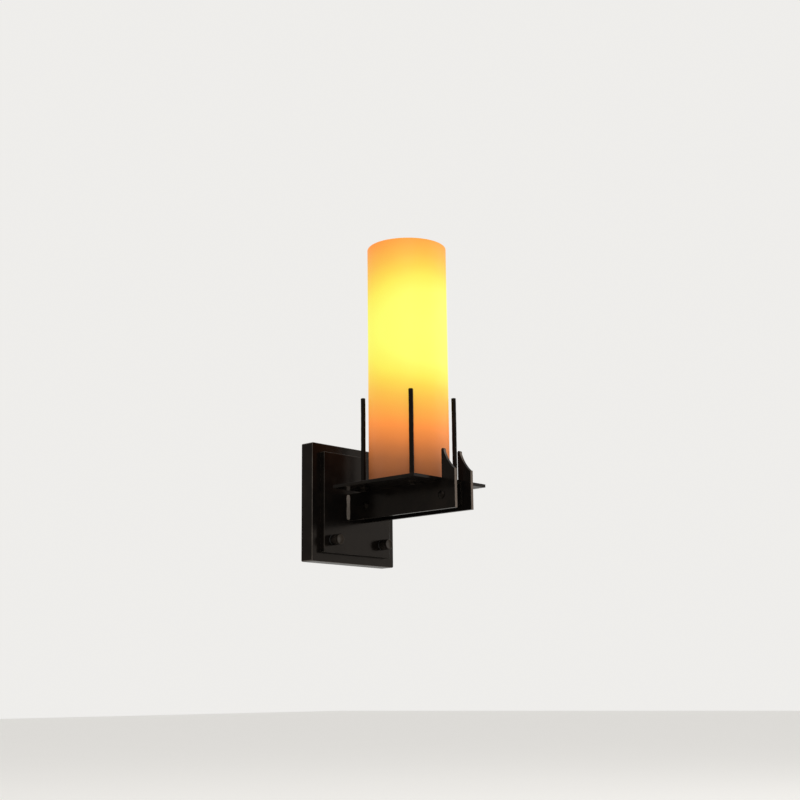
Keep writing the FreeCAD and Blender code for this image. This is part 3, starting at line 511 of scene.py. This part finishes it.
def build_studs():
    """Pan-headed screws with a cut thread, driven out of the bracket's ears."""
    low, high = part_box("bracket_studs")
    head, rim, radius, point = 2.4 * MM, 0.9 * MM, 2 * MM, 0.6 * MM
    middle = (low.z + high.z) / 2
    widest = (high.z - low.z) / 2
    tip = high.y - low.y
    outline = [(END_FLAT, 0), (widest / 2, 0.1 * MM), (0.85 * widest, 0.6 * MM), (widest, head - rim)]
    outline += [(widest, head)]
    outline += [(radius, along) for along in steps(head, tip - point, M4_PITCH / RINGS_A_TURN)]
    outline += [(radius - point, tip)]
    shape = thread(M4_PITCH, M4_DEPTH, head + M4_PITCH, tip)
    solids = []
    for x in (low.x + widest, high.x - widest):
        solids.append(turned(Vector((x, high.y, middle)), (0, -1, 0), outline, 24, shape=shape))
    make_piece("threaded_studs", solids, "root", "bracket_studs", MATERIALS["zinc_steel"])


def build_rod(node):
    """Round iron rod, lightly hammered, with a domed top and a threaded tail under the tray."""
    low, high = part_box(node)
    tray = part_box("tray_plate")[1].z
    radius, tail, point, shank = (high.x - low.x) / 2, 2 * MM, 0.5 * MM, 3 * MM
    dome, dent, ring = 1.0 * MM, 0.09 * MM, 1.5 * MM
    place = Vector(((low.x + high.x) / 2, (low.y + high.y) / 2, low.z))
    seat, length = tray - low.z, high.z - low.z
    cutting = thread(M4_PITCH, M4_DEPTH, 0, seat - shank)

    def shape(at, along, angle):
        if along <= seat:
            return cutting(at, along, angle)
        # crossing waves round and along the rod, which dent it as overlapping hammer blows do
        blows = math.sin(3 * angle + 190 * along) * math.sin(2 * angle - 310 * along)
        return at - dent * (1 + blows) * min(at / radius, 1)

    outline = [(tail - point, 0)]
    outline += [(tail, along) for along in steps(point, seat, M4_PITCH / RINGS_A_TURN)]
    outline += [(radius, along) for along in steps(seat + 0.05 * MM, length - dome, ring)]
    for degrees in (20, 40, 60, 80):
        turn = math.radians(degrees)
        outline.append((radius * math.cos(turn) ** 0.5, length - dome * (1 - math.sin(turn))))
    solid = turned(place, (0, 0, 1), outline, 28, shape=shape)
    make_piece(f"hammered_{node}", [solid], "root", node, MATERIALS["black_iron"])


def build_nipple():
    """Hollow stem nipple with its thread cut where it shows below the tray."""
    low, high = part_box("stem_nipple")
    place = Vector(((low.x + high.x) / 2, (low.y + high.y) / 2, low.z))
    outer, bore, length = (high.x - low.x) / 2, 3.5 * MM, high.z - low.z
    shown, point = 12 * MM, 0.5 * MM
    outline = [(bore, 0), (outer - point, 0)]
    outline += [(outer, along) for along in steps(point, shown, M10_PITCH / RINGS_A_TURN)]
    outline += [(outer, length), (bore, length)]
    cutting = thread(M10_PITCH, M10_DEPTH, 0, shown)

    def shape(at, along, angle):
        return cutting(at, along, angle) if at > bore else at

    solid = turned(place, (0, 0, 1), outline, 40, closed=True, shape=shape)
    make_piece("threaded_nipple", [solid], "root", "stem_nipple", MATERIALS["zinc_steel"])


def build_bulb_cap():
    """Rolled screw cap of the bulb: a round thread pressed into thin sheet, with a plain rim on top."""
    low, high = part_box("bulb_cap")
    place = Vector(((low.x + high.x) / 2, (low.y + high.y) / 2, low.z))
    outer, height, gauge = (high.x - low.x) / 2, high.z - low.z, 0.4 * MM
    entry, rim = 3 * MM, 4.6 * MM
    hole, foot, foot_inside, taper = 9.5 * MM, 10.5 * MM, 10.2 * MM, 1.3 * MM
    rolled = steps(entry, height, CAP_PITCH / ROLL_RINGS_A_TURN)
    outline = [(hole, 0), (foot, 0), (outer - taper, 0.45 * entry)]
    outline += [(outer, along) for along in rolled]
    outline += [(outer - gauge, along) for along in reversed(rolled)]
    outline += [(foot_inside, gauge), (hole, gauge)]
    rolling = thread(CAP_PITCH, CAP_ROLL, entry - CAP_PITCH, height - rim)

    def shape(at, along, angle):
        return rolling(at, along, angle) if along >= entry else at

    solid = turned(place, (0, 0, 1), outline, 64, closed=True, shape=shape)
    make_piece("rolled_bulb_cap", [solid], "bulb", "bulb_cap", MATERIALS["nickel_cap"])


def build_weld_beads():
    """Two fillet welds between arm and panel: overlapping crescents, thinner at both ends."""
    low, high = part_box("arm_weld_beads")
    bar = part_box("arm_side_right")[1].x
    leg = high.x - bar
    ripple, fade, ring, points = 1.7 * MM, 2.2 * MM, 0.2 * MM, 8
    heights = steps(low.z, high.z, ring)
    solids = []
    for side in (-1, 1):
        vertices = []
        for z in heights:
            end = min((z - low.z) / fade, (high.z - z) / fade, 1)
            # the bead's leg wanders by a few per cent as the hand moves
            wander = 0.94 + 0.06 * math.sin(z * 410 + side)
            vertices.append(Vector((side * bar, high.y, z)))
            for number in range(points + 1):
                turn = number / points * math.pi / 2
                crescent = abs(math.sin(math.pi * (z / ripple - 0.45 * math.sin(2 * turn))))
                belly = 0.80 + 0.10 * math.cos(4 * turn) + 0.10 * crescent
                reach = leg * wander * belly * (0.35 + 0.65 * math.sqrt(max(end, 0)))
                sideways = side * (bar + reach * math.cos(turn))
                vertices.append(Vector((sideways, high.y - reach * math.sin(turn), z)))
        width = points + 2
        faces = []
        for row in range(len(heights) - 1):
            for step in range(width):
                following = (step + 1) % width
                faces.append((row * width + step, row * width + following,
                              (row + 1) * width + following, (row + 1) * width + step))
        faces.append(tuple(range(width)))
        faces.append(tuple(range((len(heights) - 1) * width, len(heights) * width)))
        solids.append((vertices, faces))
    make_piece("rippled_welds", solids, "root", "arm_weld_beads", WELD_IRON)


# ---------------------------------------------------------------- camera, lamps and floor


def aim(lamp, place, target):
    """Puts a lamp at place, looking at target."""
    lamp.location = place
    lamp.rotation_euler = (Vector(target) - Vector(place)).to_track_quat("-Z", "Y").to_euler()


def build_camera():
    """The camera stands where the photograph was taken from, with its lens and its slight roll."""
    data = bpy.data.cameras.new("photo_camera")
    data.sensor_width = SENSOR_WIDTH
    data.lens = CAMERA_LENS
    data.clip_start = 0.05
    camera = bpy.data.objects.new("photo_camera", data)
    yaw, pitch, roll = (math.radians(a) for a in (CAMERA_YAW, CAMERA_PITCH, CAMERA_ROLL))
    ahead = Vector((math.sin(yaw) * math.cos(pitch), math.cos(yaw) * math.cos(pitch), math.sin(pitch)))
    level = Vector((math.cos(yaw), -math.sin(yaw), 0.0))
    upright = level.cross(ahead)
    right = math.cos(roll) * level + math.sin(roll) * upright
    up = right.cross(ahead)
    turn = Matrix((right, up, -ahead)).transposed().to_4x4()
    camera.matrix_world = Matrix.Translation(CAMERA_PLACE) @ turn
    bpy.context.collection.objects.link(camera)
    bpy.context.scene.camera = camera


def build_lamp(name, place, size, power, target):
    """A soft rectangular lamp, power in watts."""
    data = bpy.data.lights.new(name, "AREA")
    data.shape = "RECTANGLE"
    data.size, data.size_y = size
    data.energy = power
    lamp = bpy.data.objects.new(name, data)
    aim(lamp, place, target)
    bpy.context.collection.objects.link(lamp)


def build_room():
    """A pale floor well below the lamp, pale air all round, and three large soft lamps."""
    middle = (cad_box[0] + cad_box[1]) / 2
    build_lamp("key_light", (-1.6, -1.5, 1.5), (1.4, 1.4), 20, middle)
    build_lamp("side_light", (1.7, -1.3, 0.5), (1.3, 1.8), 12, middle)
    build_lamp("top_light", (0.1, 0.4, 2.0), (1.6, 1.6), 10, middle)

    level = cad_box[0].z - FLOOR_DROP
    mesh = bpy.data.meshes.new("floor")
    corners = [(x * FLOOR_HALF, y * FLOOR_HALF, level) for x, y in ((-1, -1), (1, -1), (1, 1), (-1, 1))]
    mesh.from_pydata(corners, [], [(0, 1, 2, 3)])
    floor = bpy.data.objects.new("floor", mesh)
    bpy.context.collection.objects.link(floor)
    paint = Paint("pale_floor", roughness=0.85, specular=0.2)
    paint.set("Base Color", paint.blend(paint.noise(0.4, 3), FLOOR, tuple(c * 0.985 for c in FLOOR)))
    paint.set("Emission Color", PALE_AIR)
    to_camera = paint.add("ShaderNodeLightPath").outputs["Is Camera Ray"]
    paint.set("Emission Strength", paint.product(to_camera, FLOOR_LIFT))
    mesh.materials.append(paint.material)

    world = bpy.data.worlds.new("pale_air")
    world.use_nodes = True
    bpy.context.scene.world = world
    tree = world.node_tree
    output = tree.nodes["World Output"]
    lighting = tree.nodes["Background"]
    lighting.inputs["Color"].default_value = (*PALE_AIR, 1.0)
    lighting.inputs["Strength"].default_value = AIR_LIGHT
    seen = tree.nodes.new("ShaderNodeBackground")
    seen.inputs["Color"].default_value = (*PALE_AIR, 1.0)
    seen.inputs["Strength"].default_value = 1.0
    rays = tree.nodes.new("ShaderNodeLightPath")
    share = rays.outputs["Is Camera Ray"]
    for kind in ("Is Glossy Ray", "Is Transmission Ray"):
        node = tree.nodes.new("ShaderNodeMath")
        node.operation = "MAXIMUM"
        tree.links.new(share, node.inputs[0])
        tree.links.new(rays.outputs[kind], node.inputs[1])
        share = node.outputs[0]
    mix = tree.nodes.new("ShaderNodeMixShader")
    tree.links.new(share, mix.inputs["Fac"])
    tree.links.new(lighting.outputs[0], mix.inputs[1])
    tree.links.new(seen.outputs[0], mix.inputs[2])
    tree.links.new(mix.outputs[0], output.inputs["Surface"])


bpy.context.scene.view_settings.view_transform = "Standard"
dress_cad_nodes()
for side in ("left", "right"):
    build_thumb_nut(side)
build_studs()
for corner in ("front_left", "front_right", "rear_left", "rear_right"):
    build_rod(f"rod_{corner}")
build_nipple()
build_bulb_cap()
build_weld_beads()
build_camera()
build_room()
